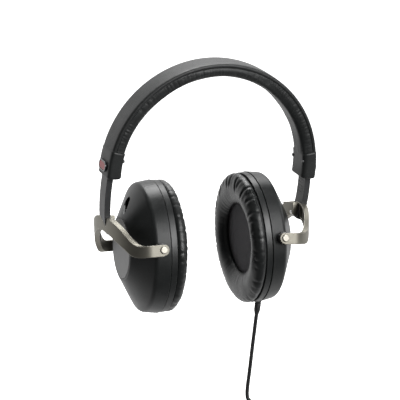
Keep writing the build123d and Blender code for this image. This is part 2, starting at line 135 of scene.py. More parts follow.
def smooth_loop(corners, count):
    """Points spread evenly round a smooth closed curve through the corners."""
    dense = []
    steps = 24
    total = len(corners)
    for i in range(total):
        a, b, c, d = (Vector(corners[(i + k) % total]) for k in (-1, 0, 1, 2))
        for j in range(steps):
            t = j / steps
            dense.append(0.5 * (
                2 * b + (c - a) * t + (2 * a - 5 * b + 4 * c - d) * t * t
                + (3 * b - a - 3 * c + d) * t * t * t
            ))
    lengths = [0.0]
    for i in range(len(dense)):
        lengths.append(lengths[-1] + (dense[(i + 1) % len(dense)] - dense[i]).length)
    spread = []
    i = 0
    for j in range(count):
        want = lengths[-1] * j / count
        while lengths[i + 1] < want:
            i += 1
        share = (want - lengths[i]) / (lengths[i + 1] - lengths[i])
        spread.append(dense[i].lerp(dense[(i + 1) % len(dense)], share))
    return spread


def apply_modifiers(piece):
    """Replace a piece's mesh by what its modifiers make of it."""
    graph = bpy.context.evaluated_depsgraph_get()
    shaped = bpy.data.meshes.new_from_object(piece.evaluated_get(graph))
    piece.modifiers.clear()
    piece.data = shaped


SWELL_FRAMES = 20
CLOTH_QUALITY = 5
CLOTH_MASS = 0.05


def swell(piece, held, pressure, cap):
    """Puff the piece out like filled fabric, with its held points fixed and its growth capped."""
    start = [v.co.copy() for v in piece.data.vertices]
    group = piece.vertex_groups.new(name="held")
    for index, weight in enumerate(held):
        if weight > 0:
            group.add([index], weight, "REPLACE")
    cloth = piece.modifiers.new("Fill", "CLOTH")
    cloth.settings.vertex_group_mass = group.name
    cloth.settings.use_pressure = True
    cloth.settings.uniform_pressure_force = pressure
    cloth.settings.effector_weights.gravity = 0
    cloth.settings.quality = CLOTH_QUALITY
    cloth.settings.mass = CLOTH_MASS
    cloth.point_cache.frame_start = 1
    cloth.point_cache.frame_end = SWELL_FRAMES
    for number in range(1, SWELL_FRAMES + 1):
        bpy.context.scene.frame_set(number)
    apply_modifiers(piece)
    for vertex, before in zip(piece.data.vertices, start):
        move = vertex.co - before
        if move.length > cap:
            vertex.co = before + move * (cap / move.length)
    bpy.context.scene.frame_set(1)
    piece.vertex_groups.clear()


def refine(piece):
    """Subdivide a piece smoothly, once, and keep the result."""
    modifier = piece.modifiers.new("Subdivide", "SUBSURF")
    modifier.levels = 1
    modifier.render_levels = 1
    apply_modifiers(piece)
    piece.data.shade_smooth()


def push(piece, depth_at):
    """Move each point along its normal by the millimetres that depth_at gives for it."""
    mesh = piece.data
    moves = [depth_at(v.co) * MM * v.normal for v in mesh.vertices]
    for vertex, move in zip(mesh.vertices, moves):
        vertex.co += move
    mesh.update()


def bell(distance, width):
    """One at zero distance, falling off smoothly over the width."""
    return math.exp(-(distance / width) ** 2)


def ramp(value, low, high):
    """Zero below low, one above high, eased between."""
    share = min(1.0, max(0.0, (value - low) / (high - low)))
    return share * share * (3 - 2 * share)


# ---- shader groups ----
def add(tree, kind, values=None, **settings):
    """A shader node with its settings and the values of its sockets."""
    node = tree.nodes.new(kind)
    for key, value in settings.items():
        setattr(node, key, value)
    for key, value in (values or {}).items():
        node.inputs[key].default_value = value
    return node


def open_group(name, inputs, outputs):
    """A node group with named float or vector sockets."""
    tree = bpy.data.node_groups.new(name, "ShaderNodeTree")
    for label, kind, value in inputs:
        socket = tree.interface.new_socket(label, in_out="INPUT", socket_type=kind)
        socket.default_value = value
    for label, kind in outputs:
        tree.interface.new_socket(label, in_out="OUTPUT", socket_type=kind)
    return tree, tree.nodes.new("NodeGroupInput"), tree.nodes.new("NodeGroupOutput")


FLOAT = "NodeSocketFloat"
VECTOR = "NodeSocketVector"


def maths(tree, operation, first, second=None):
    """A Math node fed by sockets or numbers; returns its output."""
    node = add(tree, "ShaderNodeMath", operation=operation)
    for index, source in enumerate((first, second)):
        if isinstance(source, (int, float)):
            node.inputs[index].default_value = source
        elif source is not None:
            tree.links.new(source, node.inputs[index])
    return node.outputs[0]


def group_pebble():
    """Pressed leather grain: soft cells with fine creases between them, and a crease mask for painted shade."""
    tree, given, result = open_group(
        "Leather pebble", [("Scale", FLOAT, 900.0), ("Softness", FLOAT, 0.5)],
        [("Height", FLOAT), ("Crease", FLOAT)],
    )
    place = add(tree, "ShaderNodeTexCoord")
    warp = add(tree, "ShaderNodeTexNoise", {"Scale": 260.0, "Detail": 3.0})
    offset = add(tree, "ShaderNodeVectorMath", operation="SCALE")
    offset.inputs["Scale"].default_value = 0.0016
    shifted = add(tree, "ShaderNodeVectorMath", operation="ADD")
    cells = add(tree, "ShaderNodeTexVoronoi", feature="DISTANCE_TO_EDGE")
    ease = add(tree, "ShaderNodeMapRange", {"To Min": 0.0, "To Max": 1.0})
    fine = add(tree, "ShaderNodeTexNoise", {"Scale": 3200.0, "Detail": 2.0})
    link = tree.links.new
    link(place.outputs["Object"], warp.inputs["Vector"])
    link(warp.outputs["Color"], offset.inputs[0])
    link(place.outputs["Object"], shifted.inputs[0])
    link(offset.outputs[0], shifted.inputs[1])
    link(shifted.outputs[0], cells.inputs["Vector"])
    link(given.outputs["Scale"], cells.inputs["Scale"])
    link(place.outputs["Object"], fine.inputs["Vector"])
    link(cells.outputs["Distance"], ease.inputs["Value"])
    link(given.outputs["Softness"], ease.inputs["From Max"])
    height = maths(tree, "ADD", ease.outputs[0], maths(tree, "MULTIPLY", fine.outputs[0], 0.25))
    link(height, result.inputs["Height"])
    link(maths(tree, "SUBTRACT", 1.0, ease.outputs[0]), result.inputs["Crease"])
    return tree


def group_moulding():
    """Fine sandy texture of a moulded or painted face, with faint cloudy sheen changes."""
    tree, given, result = open_group(
        "Moulded texture", [("Scale", FLOAT, 2500.0), ("Cloud Scale", FLOAT, 60.0)],
        [("Height", FLOAT), ("Cloud", FLOAT)],
    )
    place = add(tree, "ShaderNodeTexCoord")
    sand = add(tree, "ShaderNodeTexNoise", {"Detail": 4.0, "Roughness": 0.6})
    cloud = add(tree, "ShaderNodeTexNoise", {"Detail": 3.0, "Roughness": 0.55})
    link = tree.links.new
    link(place.outputs["Object"], sand.inputs["Vector"])
    link(place.outputs["Object"], cloud.inputs["Vector"])
    link(given.outputs["Scale"], sand.inputs["Scale"])
    link(given.outputs["Cloud Scale"], cloud.inputs["Scale"])
    link(sand.outputs[0], result.inputs["Height"])
    link(cloud.outputs[0], result.inputs["Cloud"])
    return tree


def group_edges():
    """Rounded edge normals, and a mask of the edges where a finish wears."""
    tree, given, result = open_group(
        "Soft edges", [("Radius", FLOAT, 0.0004), ("Spread", FLOAT, 6.0)],
        [("Normal", VECTOR), ("Wear", FLOAT)],
    )
    rounded = add(tree, "ShaderNodeBevel", samples=4)
    flat = add(tree, "ShaderNodeNewGeometry")
    match = add(tree, "ShaderNodeVectorMath", operation="DOT_PRODUCT")
    place = add(tree, "ShaderNodeTexCoord")
    patchy = add(tree, "ShaderNodeTexNoise", {"Scale": 700.0, "Detail": 4.0})
    link = tree.links.new
    link(given.outputs["Radius"], rounded.inputs["Radius"])
    link(rounded.outputs[0], result.inputs["Normal"])
    link(rounded.outputs[0], match.inputs[0])
    link(flat.outputs["Normal"], match.inputs[1])
    link(place.outputs["Object"], patchy.inputs["Vector"])
    gap = maths(tree, "SUBTRACT", 1.0, match.outputs["Value"])
    spread = maths(tree, "MULTIPLY", gap, given.outputs["Spread"])
    broken = maths(tree, "MULTIPLY", spread, patchy.outputs[0])
    clipped = add(tree, "ShaderNodeClamp")
    link(broken, clipped.inputs["Value"])
    link(clipped.outputs[0], result.inputs["Wear"])
    return tree


def group_dust():
    """Thin pale dust that gathers in speckles, as a mask."""
    tree, given, result = open_group(
        "Dust and lint", [("Scale", FLOAT, 1400.0), ("Amount", FLOAT, 0.3)], [("Mask", FLOAT)],
    )
    place = add(tree, "ShaderNodeTexCoord")
    specks = add(tree, "ShaderNodeTexNoise", {"Detail": 6.0, "Roughness": 0.7})
    cut = add(tree, "ShaderNodeMapRange", {"From Min": 0.58, "From Max": 0.75})
    link = tree.links.new
    link(place.outputs["Object"], specks.inputs["Vector"])
    link(given.outputs["Scale"], specks.inputs["Scale"])
    link(specks.outputs[0], cut.inputs["Value"])
    link(maths(tree, "MULTIPLY", cut.outputs[0], given.outputs["Amount"]), result.inputs["Mask"])
    return tree


GROUPS = {}


def use_group(tree, name, **values):
    """Place a shared group in a material with this material's own values."""
    if name not in GROUPS:
        makers = {
            "pebble": group_pebble, "moulding": group_moulding,
            "edges": group_edges, "dust": group_dust,
        }
        GROUPS[name] = makers[name]()
    node = tree.nodes.new("ShaderNodeGroup")
    node.node_tree = GROUPS[name]
    for key, value in values.items():
        node.inputs[key.replace("_", " ").title()].default_value = value
    return node


def blend_colours(tree, mask, low, high, share=1.0):
    """Mix two colours, given as sockets or values, by a mask."""
    node = add(tree, "ShaderNodeMix", data_type="RGBA")
    tree.links.new(maths(tree, "MULTIPLY", mask, share), node.inputs["Factor"])
    for socket, source in ((node.inputs[6], low), (node.inputs[7], high)):
        if isinstance(source, bpy.types.NodeSocket):
            tree.links.new(source, socket)
        else:
            socket.default_value = (*source, 1.0)
    return node.outputs[2]


def new_finish(name, **sockets):
    """An empty material with a Principled shader whose constant sockets are set."""
    material = bpy.data.materials.new(name)
    material.use_nodes = True
    tree = material.node_tree
    shader = tree.nodes["Principled BSDF"]
    for key, value in sockets.items():
        shader.inputs[key.replace("_", " ")].default_value = value
    return material, tree, shader


def rough_range(tree, shader, source, low, high):
    """Let a value between 0.3 and 0.7 move the roughness between two ends."""
    spread = add(tree, "ShaderNodeMapRange", {
        "From Min": 0.3, "From Max": 0.7, "To Min": low, "To Max": high,
    })
    tree.links.new(source, spread.inputs["Value"])
    tree.links.new(spread.outputs[0], shader.inputs["Roughness"])


def add_bump(tree, shader, height, distance, normal=None):
    """Let a height tilt the shader's normal, over a distance in metres."""
    bump = add(tree, "ShaderNodeBump", {"Strength": 1.0, "Distance": distance})
    tree.links.new(height, bump.inputs["Height"])
    if normal is not None:
        tree.links.new(normal, bump.inputs["Normal"])
    tree.links.new(bump.outputs[0], shader.inputs["Normal"])


def moulded(name, colour, rough, worn=None, scale=2500.0, depth=0.00002, edge=0.0004, metal=0.0,
            spread=6.0, dust=0.0, coat=0.0, cloud=0.35):
    """Plastic, paint or plated metal: sandy texture, cloudy sheen and lighter worn edges."""
    worn = worn or tuple(min(1.0, c * 2.2 + 0.01) for c in colour)
    material, tree, shader = new_finish(name, Metallic=metal, Coat_Weight=coat, Coat_Roughness=0.12)
    texture = use_group(tree, "moulding", scale=scale)
    edges = use_group(tree, "edges", radius=edge, spread=spread)
    darker = tuple(c * (1 - cloud) for c in colour)
    lighter = tuple(min(1.0, c * (1 + cloud)) for c in colour)
    base = blend_colours(tree, texture.outputs["Cloud"], darker, lighter)
    base = blend_colours(tree, edges.outputs["Wear"], base, worn)
    if dust:
        lint = use_group(tree, "dust", amount=dust)
        base = blend_colours(tree, lint.outputs["Mask"], base, (0.35, 0.34, 0.33))
    tree.links.new(base, shader.inputs["Base Color"])
    rough_range(tree, shader, texture.outputs["Cloud"], rough - 0.05, rough + 0.07)
    add_bump(tree, shader, texture.outputs["Height"], depth, edges.outputs["Normal"])
    return material


def leathered(name, colour, rough, scale, depth):
    """Leatherette: pebbled grain, creases darkened with painted shade, a slight oily sheen."""
    material, tree, shader = new_finish(name, Sheen_Weight=0.08, Sheen_Roughness=0.4)
    grain = use_group(tree, "pebble", scale=scale, softness=0.35)
    texture = use_group(tree, "moulding", scale=1500.0, cloud_scale=45.0)
    lighter = tuple(c * 1.5 for c in colour)
    base = blend_colours(tree, texture.outputs["Cloud"], colour, lighter)
    # painted shade: the colour is darkened in the grain's creases, where shade falls
    base = blend_colours(tree, grain.outputs["Crease"], base, tuple(c * 0.45 for c in colour), 0.7)
    tree.links.new(base, shader.inputs["Base Color"])
    rough_range(tree, shader, texture.outputs["Cloud"], rough - 0.06, rough + 0.08)
    add_bump(tree, shader, grain.outputs["Height"], depth)
    return material


def woven(name, colour, thread):
    """Fine cloth: two crossing sets of threads."""
    material, tree, shader = new_finish(name, Roughness=0.9, Sheen_Weight=0.35, Sheen_Roughness=0.5)
    place = add(tree, "ShaderNodeTexCoord")
    waves = []
    for direction in ("Y", "Z"):
        wave = add(tree, "ShaderNodeTexWave", {"Scale": thread, "Distortion": 0.6, "Detail": 1.0},
                   bands_direction=direction)
        tree.links.new(place.outputs["Object"], wave.inputs["Vector"])
        waves.append(wave.outputs["Fac"])
    weave = maths(tree, "MULTIPLY", waves[0], waves[1])
    darker = tuple(c * 0.5 for c in colour)
    lighter = tuple(c * 1.5 for c in colour)
    base = blend_colours(tree, weave, darker, lighter)
    tree.links.new(base, shader.inputs["Base Color"])
    add_bump(tree, shader, weave, 0.0001)
    return material


FINISHES = {}


def finish_of(name):
    """The named finish, made the first time that it is asked for."""
    if name not in FINISHES:
        colours = bpy.context.scene.headphone_colours
        FINISHES[name] = FINISH_MAKERS[name](colours)
    return FINISHES[name]


FINISH_MAKERS = {
    "band leatherette": lambda c: leathered(
        "Band leatherette", tuple(c.leatherette), 0.46, 1500.0, 0.00003),
    "pad leatherette": lambda c: leathered(
        "Pad leatherette", tuple(c.leatherette), 0.3, 1300.0, 0.00004),
    "sleeve plastic": lambda c: moulded("Sleeve plastic", tuple(c.leatherette), 0.46, dust=0.12),
    "cup plastic": lambda c: moulded(
        "Cup plastic", tuple(c.plastic), 0.37, edge=0.0006, dust=0.12),
    "gloss black": lambda c: moulded(
        "Gloss black plastic", (0.012, 0.012, 0.014), 0.16, depth=0.000006, coat=0.4),
    "right mark red": lambda c: moulded("Red side mark", tuple(c.right_mark), 0.3, depth=0.00001),
    "left mark grey": lambda c: moulded("Grey side mark", (0.16, 0.16, 0.18), 0.35, depth=0.00001),
    # painted reflection: the back facet's light grey colour stands in for the bright backdrop that it reflects
    "facet painted reflection": lambda c: moulded("Facet plastic with painted reflection", (0.34, 0.34, 0.34), 0.5, depth=0.00004),
    "slider enamel": lambda c: moulded(
        "Slider enamel", (0.035, 0.036, 0.038), 0.38, edge=0.0005, worn=(0.12, 0.12, 0.12),
        dust=0.1),
    "yoke nickel": lambda c: moulded(
        "Yoke nickel", tuple(c.yoke_metal), 0.42, metal=0.9, edge=0.0006,
        worn=(0.62, 0.60, 0.54), spread=8.0, cloud=0.2),
    "rivet nickel": lambda c: moulded(
        "Rivet nickel", (0.42, 0.40, 0.35), 0.42, metal=0.9, cloud=0.12),
    "steel": lambda c: moulded("Bright steel", (0.6, 0.6, 0.6), 0.3, metal=1.0, cloud=0.1),
    "gold contact": lambda c: moulded(
        "Gold contact", (0.72, 0.52, 0.2), 0.22, metal=1.0, cloud=0.08),
    "port plastic": lambda c: moulded("Port plastic", (0.008, 0.008, 0.009), 0.6),
    "inner plastic": lambda c: moulded("Inner plastic", (0.03, 0.03, 0.03), 0.5),
    "film": lambda c: moulded("Membrane film", (0.3, 0.28, 0.22), 0.25, coat=0.5),
    "board lacquer": lambda c: moulded("Board lacquer", (0.02, 0.12, 0.05), 0.3, coat=0.3),
    "foam": lambda c: moulded("Open foam", (0.07, 0.07, 0.075), 0.95, scale=1400.0, depth=0.0004),
    "cord rubber": lambda c: moulded("Cord rubber", tuple(c.cord), 0.55, depth=0.00003),
    "ear cloth": lambda c: woven("Ear cloth", tuple(c.ear_cloth), 900.0),
}

NODE_FINISHES = {
    "side_mark_bezel": "gloss black",
    "side_mark_insert_right": "right mark red",
    "side_mark_insert_left": "left mark grey",
    "detent_spring": "steel",
    "headband_spring": "steel",
    "sleeve_screws": "slider enamel",
    "slider_bar": "slider enamel",
    "slider_screw": "steel",
    "yoke_pins": "rivet nickel",
    "yoke": "yoke nickel",
    "housing": "cup plastic",
    "pivot_bushes": "gloss black",
    "back_plate": "facet painted reflection",
    "baffle_screws": "steel",
    "baffle_cloth": "ear cloth",
    "baffle": "cup plastic",
    "driver_magnet": "steel",
    "driver_diaphragm": "film",
    "driver_": "inner plastic",
    "damping_foam": "foam",
    "port_insert": "port plastic",
    "terminal_board": "board lacquer",
    "strain_relief": "cord rubber",
    "cord_tie": "gloss black",
    "plug_relief": "cord rubber",
    "plug_body": "gloss black",
    "plug_rings": "gloss black",
    "plug_": "gold contact",
}


def dress(node_names):
    """Give each named CAD node its finish."""
    for node in node_names:
        key = next((k for k in NODE_FINISHES if node.startswith(k)), None)
        if key is None:
            raise RuntimeError("no finish is named for " + node)
        for slot in frame["nodes"][node].material_slots:
            slot.link = "OBJECT"
            slot.material = finish_of(NODE_FINISHES[key])


def wear(piece, finish):
    """Give a piece its one finish."""
    piece.data.materials.clear()
    piece.data.materials.append(finish_of(finish))


# ---- headband ----
BAND_ENTRY = 2.5             # the wrap runs this far into each sleeve
STRIP_ROWS, STRIP_POINTS = 260, 96
ROLL_ROWS, ROLL_POINTS = 230, 72
GLUED_DEPTH = 3.6            # the roll is fixed down to this depth, where it meets the strip
CHANNEL_HALF = 7.6           # and round the channel of the slider bars, this far to each side
CHANNEL_DEPTH = 8.2
ROLL_GROWTH = 0.5            # most that the filling may push the roll out

# sections as width and depth below the band's outer face; the strip and the roll are hollowed
# where they meet, and the slider bars run in that channel
STRIP_OUTLINE = [
    (-10.3, 3.1), (-10.75, 2.2), (-10.55, 1.0), (-9.7, 0.25), (-8.2, 0.02), (-4, -0.08),
    (0, -0.1), (4, -0.08), (8.2, 0.02), (9.7, 0.25), (10.55, 1.0), (10.75, 2.2), (10.3, 3.1),
    (9.2, 3.5), (7.6, 3.4), (7.0, 2.8), (6.8, 1.4), (6.3, 1.0), (0, 0.95), (-6.3, 1.0),
    (-6.8, 1.4), (-7.0, 2.8), (-7.6, 3.4), (-9.2, 3.5),
]
ROLL_OUTLINE = [
    (9.0, 2.9), (10.2, 3.0), (10.8, 3.7), (10.95, 4.8), (10.85, 6.2), (10.45, 7.7), (9.7, 9.2),
    (8.5, 10.2), (7.0, 10.65), (3.5, 10.8), (0, 10.85), (-3.5, 10.8), (-7.0, 10.65),
    (-8.5, 10.2), (-9.7, 9.2), (-10.45, 7.7), (-10.85, 6.2), (-10.95, 4.8), (-10.8, 3.7),
    (-10.2, 3.0), (-9.0, 2.9), (-7.7, 3.0), (-7.1, 3.6), (-6.9, 6.9), (-6.3, 7.6), (0, 7.7),
    (6.3, 7.6), (6.9, 6.9), (7.1, 3.6), (7.7, 3.0),
]
SLEEVE_OUTLINE = [
    (0, -0.3), (5, -0.28), (9.2, -0.12), (10.7, 0.6), (11.15, 2.0), (11.2, 4.0), (11.15, 6.4),
    (10.8, 8.6), (9.8, 10.2), (8.4, 10.9), (5, 11.0), (0, 11.0), (-5, 11.0), (-8.4, 10.9),
    (-9.8, 10.2), (-10.8, 8.6), (-11.15, 6.4), (-11.2, 4.0), (-11.15, 2.0), (-10.7, 0.6),
    (-9.2, -0.12), (-5, -0.28),
]
SLEEVE_POINTS = 64
SLEEVE_HALF_WIDTH = 11.0
SLEEVE_MID_DEPTH = 5.4
SLEEVE_HALF_DEPTH = 5.6
RIM_ROUND = 1.6              # radius of a sleeve's lower rim


def band_sweep(name, outline, rows_count, count):
    """Carry a cross-section along the headband's arch."""
    lift = math.degrees(math.asin((SLEEVE_TOP_Z - BAND_ENTRY - ARCH_Z) / BAND_OUTER_R))
    loop = smooth_loop(outline, count)
    rows = []
    for i in range(rows_count):
        turn = math.radians(lift + (180 - 2 * lift) * i / (rows_count - 1))
        row = []
        for across, depth in loop:
            r = (BAND_OUTER_R - depth) * MM
            z = ARCH_Z * MM + r * math.sin(turn)
            row.append(Vector((r * math.cos(turn), across * MM, z)))
        rows.append(row)
    return grid_mesh(name, rows, cap_ends=True)


def sleeve_section(turn_or_drop, shrink):
    """Cross-section of a moulded end: on the arch if positive, straight below it if not."""
    loop = smooth_loop(SLEEVE_OUTLINE, SLEEVE_POINTS)
    row = []
    for across, depth in loop:
        across *= 1 - shrink / SLEEVE_HALF_WIDTH
        narrowed = (depth - SLEEVE_MID_DEPTH) * (1 - shrink / SLEEVE_HALF_DEPTH)
        depth = SLEEVE_MID_DEPTH + narrowed
        r = BAND_OUTER_R - depth
        if turn_or_drop > 0:
            x, z = r * math.cos(turn_or_drop), ARCH_Z + r * math.sin(turn_or_drop)
        else:
            x, z = r, ARCH_Z + turn_or_drop
        row.append(Vector((x, across, z)) * MM)
    return row


def sleeve_shell(side):
    """Moulded end flush with the padding, its lower rim rounded over and its top edge eased."""
    top = math.asin((SLEEVE_TOP_Z - ARCH_Z) / BAND_OUTER_R)
    rows = [sleeve_section(top + 0.006, 1.1), sleeve_section(top + 0.004, 0.35)]
    rows.append(sleeve_section(top, 0.0))
    rows += [sleeve_section(top * (1 - i / 14), 0.0) for i in range(1, 14)]
    straight = ARCH_Z - SLEEVE_END_Z
    rows += [sleeve_section(-0.001 - i / 5 * (straight - RIM_ROUND), 0.0) for i in range(6)]
    for i in range(1, 8):
        angle = math.pi / 2 * i / 7
        drop = straight - RIM_ROUND * (1 - math.sin(angle))
        rows.append(sleeve_section(-drop, RIM_ROUND * (1 - math.cos(angle))))
    if side == "right":
        for row in rows:
            for point in row:
                point.x = -point.x
    return grid_mesh("sleeve_shell_" + side, rows, cap_ends=True)


def roll_wrinkle(point):
    """Fine puckers across the padded edges of the band, and slow unevenness along it."""
    turn = math.atan2(point.z - ARCH_Z * MM, point.x)
    r = math.hypot(point.x, point.z - ARCH_Z * MM) / MM
    depth = BAND_OUTER_R - r
    along = turn * BAND_OUTER_R
    across = abs(point.y) / MM
    on_roll = ramp(across, 8.4, 10.2) * ramp(depth, 2.8, 4.0) * (1 - ramp(depth, 7.5, 9.8))
    side = 1 if point.y > 0 else -1
    tick = noise.noise(Vector((along / 1.3, side * 5.0, depth / 9.0)))
    wide = noise.noise(Vector((along / 6.0, side * 9.0, depth / 12.0)))
    pucker = -0.38 * max(0.0, tick) ** 0.7 - 0.12 * wide
    slow = noise.noise(Vector((along / 11.0, point.y / MM / 6.0, 3.0)))
    inner = ramp(depth, 10.0, 10.8) * 0.12 * slow
    return on_roll * pucker + inner


class HEADPHONES_OT_headband(bpy.types.Operator):
    """Leatherette strip and padded roll of the headband, and the moulded ends"""

    bl_idname = "headphones.headband"
    bl_label = "Headband"

    def execute(self, context):
        strip = band_sweep("band_strip", STRIP_OUTLINE, STRIP_ROWS, STRIP_POINTS)
        wear(strip, "band leatherette")
        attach(strip, "headband")
        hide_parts("headband_cover")
        roll = band_sweep("band_roll", ROLL_OUTLINE, ROLL_ROWS, ROLL_POINTS)
        held = []
        for vertex in roll.data.vertices:
            r = math.hypot(vertex.co.x, vertex.co.z - ARCH_Z * MM) / MM
            depth = BAND_OUTER_R - r
            in_channel = abs(vertex.co.y) / MM < CHANNEL_HALF and depth < CHANNEL_DEPTH
            held.append(1.0 if depth < GLUED_DEPTH or in_channel else 0.0)
        swell(roll, held, context.scene.headphone_sizes.band_fill, ROLL_GROWTH * MM)
        refine(roll)
        push(roll, roll_wrinkle)
        wear(roll, "band leatherette")
        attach(roll, "headband")
        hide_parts("headband_cushion")
        for side in SIDES:
            shell = sleeve_shell(side)
            wear(shell, "sleeve plastic")
            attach(shell, "headband")
            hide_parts("end_sleeve_" + side)
        covered = ("headband_cover", "headband_cushion", "end_sleeve_left", "end_sleeve_right")
        dress(node for node in MEMBERS["headband"] if node not in covered)
        return {"FINISHED"}


# ---- ear pads ----
# section as share of the way from the outer oval to the opening, and place along the cup's axis
PAD_OUTLINE = [
    (0.13, -12.95), (0.05, -13.5), (-0.01, -14.6), (-0.03, -16.6), (0.01, -18.8), (0.12, -20.7),
    (0.31, -21.9), (0.52, -22.3), (0.74, -21.5), (0.92, -19.6), (1.01, -17.6), (1.03, -15.8),
    (0.98, -14.7), (0.80, -14.3), (0.45, -13.6),
]
PAD_SPREAD = 20              # share times this is about millimetres, so that points lie evenly
PAD_POINTS = 44
PAD_ROUND = 200
PAD_GROWTH = 0.6             # most that the filling may push a pad out
CREASE_SEEDS = {"left": 11, "right": 23}


def pad_point(axes, sizes, turn, share, z):
    """A place on an ear pad, share 0 on its outer oval and 1 on its opening."""
    a = sizes.pad_half_width / MM
    b = sizes.pad_half_height / MM
    open_a = sizes.opening_half_width / MM
    open_b = sizes.opening_half_height / MM
    x = (a + share * (open_a - a)) * math.cos(turn)
    y = (b + share * (open_b - b)) * math.sin(turn)
    return put(axes, x, y, z)


def glued(spread, z):
    """Whether a pad's section is fixed there: on its seat, and at the edge of its opening."""
    return z > -14.2 or spread > 18.0 and z > -16.5


def pad_pleats(seed):
    """Places, depths and lengths of one pad's creases, from its outer seam towards the opening."""
    chance = random.Random(seed)
    pleats = []
    turn = 0.0
    while turn < 2 * math.pi:
        turn += chance.uniform(0.13, 0.24)
        top = 0.5 + 0.5 * math.sin(turn)
        deep = (0.25 + 0.75 * top ** 1.5) * chance.uniform(0.5, 1.0)
        reach = 0.22 + 0.6 * top * chance.uniform(0.4, 1.0)
        pleats.append((turn, deep, reach, chance.uniform(-0.16, 0.16)))
    return pleats


class HEADPHONES_OT_ear_pads(bpy.types.Operator):
    """Swollen leatherette rings with gathered creases"""

    bl_idname = "headphones.ear_pads"
    bl_label = "Ear pads"

    def execute(self, context):
        sizes = context.scene.headphone_sizes
        loop = smooth_loop([(s * PAD_SPREAD, z) for s, z in PAD_OUTLINE], PAD_POINTS)
        for side in SIDES:
            axes = cup_axes(side)
            rows = []
            for i in range(PAD_ROUND):
                turn = 2 * math.pi * i / PAD_ROUND
                rows.append([pad_point(axes, sizes, turn, s / PAD_SPREAD, z) for s, z in loop])
            pad = grid_mesh("ear_pad_cover_" + side, rows, close_ends=True)
            held = [1.0 if glued(s, z) else 0.0 for s, z in loop] * PAD_ROUND
            swell(pad, held, sizes.pad_fill, PAD_GROWTH * MM)
            refine(pad)
            self.gather(pad, axes, sizes, side)
            wear(pad, "pad leatherette")
            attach(pad, "cup_" + side)
            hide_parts("ear_pad_" + side)
        return {"FINISHED"}

    def gather(self, pad, axes, sizes, side):
        """Press the creases into the pad, deepest at the top where it is sewn tightest."""
        pivot, rear, up, outward = axes
        pleats = pad_pleats(CREASE_SEEDS[side])
        a = sizes.pad_half_width
        b = sizes.pad_half_height
        width = sizes.pad_half_width - sizes.opening_half_width

        def depth_at(point):
            local = point - pivot
            x, y, z = local.dot(rear), local.dot(up), local.dot(outward) / MM
            turn = math.atan2(y / b, x / a) % (2 * math.pi)
            rim = math.hypot(x / a, y / b)
            share = (1 - rim) * a / width
            arc = math.hypot(a * math.sin(turn), b * math.cos(turn)) / MM
            total = 0.0
            for at, deep, reach, skew in pleats:
                gap = (turn - at - skew * share + math.pi) % (2 * math.pi) - math.pi
                if abs(gap) > 0.3:
                    continue
                away = gap * arc
                run = 1 - ramp(share, reach * 0.5, reach)
                total -= 0.85 * deep * run * bell(away, 0.75 + 0.9 * max(0.0, share))
                total += 0.30 * deep * run * bell(abs(away) - 2.4, 1.5)
            lip = ramp(share, 0.62, 0.95)
            radial = noise.noise(Vector((math.cos(turn) * 17, math.sin(turn) * 17, 1.5)))
            slow = noise.noise(Vector((math.cos(turn) * 3, math.sin(turn) * 3, share * 2)))
            seam = noise.noise(Vector((math.cos(turn) * 11, math.sin(turn) * 11, 7.5)))
            near_seam = 1 - ramp(share, 0.02, 0.22)
            free = ramp(-z, 13.2, 15.0)
            wall = 1 - 0.5 * ramp(0.06 - share, 0.0, 0.08)
            return free * (
                total * wall - 0.22 * lip * abs(radial) + 0.3 * slow
                - 0.35 * near_seam * max(0.0, seam)
            )

        push(pad, depth_at)


# ---- cups, sliders and yokes ----
class HEADPHONES_OT_cups(bpy.types.Operator):
    """Finishes of the cup shells, ports, drivers and everything fixed in them"""

    bl_idname = "headphones.cups"
    bl_label = "Ear cups"

    def execute(self, context):
        for side in SIDES:
            skip = ("ear_pad_", "cord_lead", "cord_hank")
            dress(node for node in MEMBERS["cup_" + side] if not node.startswith(skip))
        return {"FINISHED"}


class HEADPHONES_OT_sliders(bpy.types.Operator):
    """Slider bars, yokes, rivets and screws"""

    bl_idname = "headphones.sliders"
    bl_label = "Sliders and yokes"

    def execute(self, context):
        for side in SIDES:
            dress(MEMBERS["slider_" + side])
        return {"FINISHED"}


# ---- cord ----
CORD_RUN = [(0, 0, 0), (0, 0, -22), (0.5, 0.3, -46)]
PLAIT = [-6.4, -3.3, 3.3, 6.4]           # depth of the hank's four layers where it is open
PINCHED = [-4.65, -1.55, 1.55, 4.65]     # the same layers under the tie
OUTER_FOLD, OUTER_TIED = 11.4, 4.65      # half width of a turn at its folds and under the tie
INNER_FOLD, INNER_TIED = 8.3, 1.55
FOLD_TOP = 14.5
FOLD_LOW = -19.0


def hank_side(sign, downward, fold, pinch, layer):
    """One run of a turn from fold to fold, drawn in where the tie holds it."""
    open_y, tied_y = PLAIT[layer], PINCHED[layer]
    run = [
        (sign * fold, open_y, FOLD_TOP),
        (sign * (0.45 * fold + 0.55 * pinch), 0.45 * open_y + 0.55 * tied_y, 9.0),
        (sign * pinch, tied_y, 3.4),
        (sign * pinch, tied_y, -3.4),
        (sign * (0.45 * fold + 0.55 * pinch), 0.45 * open_y + 0.55 * tied_y, -9.0),
        (sign * fold, open_y, FOLD_LOW),
    ]
    return run if downward else run[::-1]


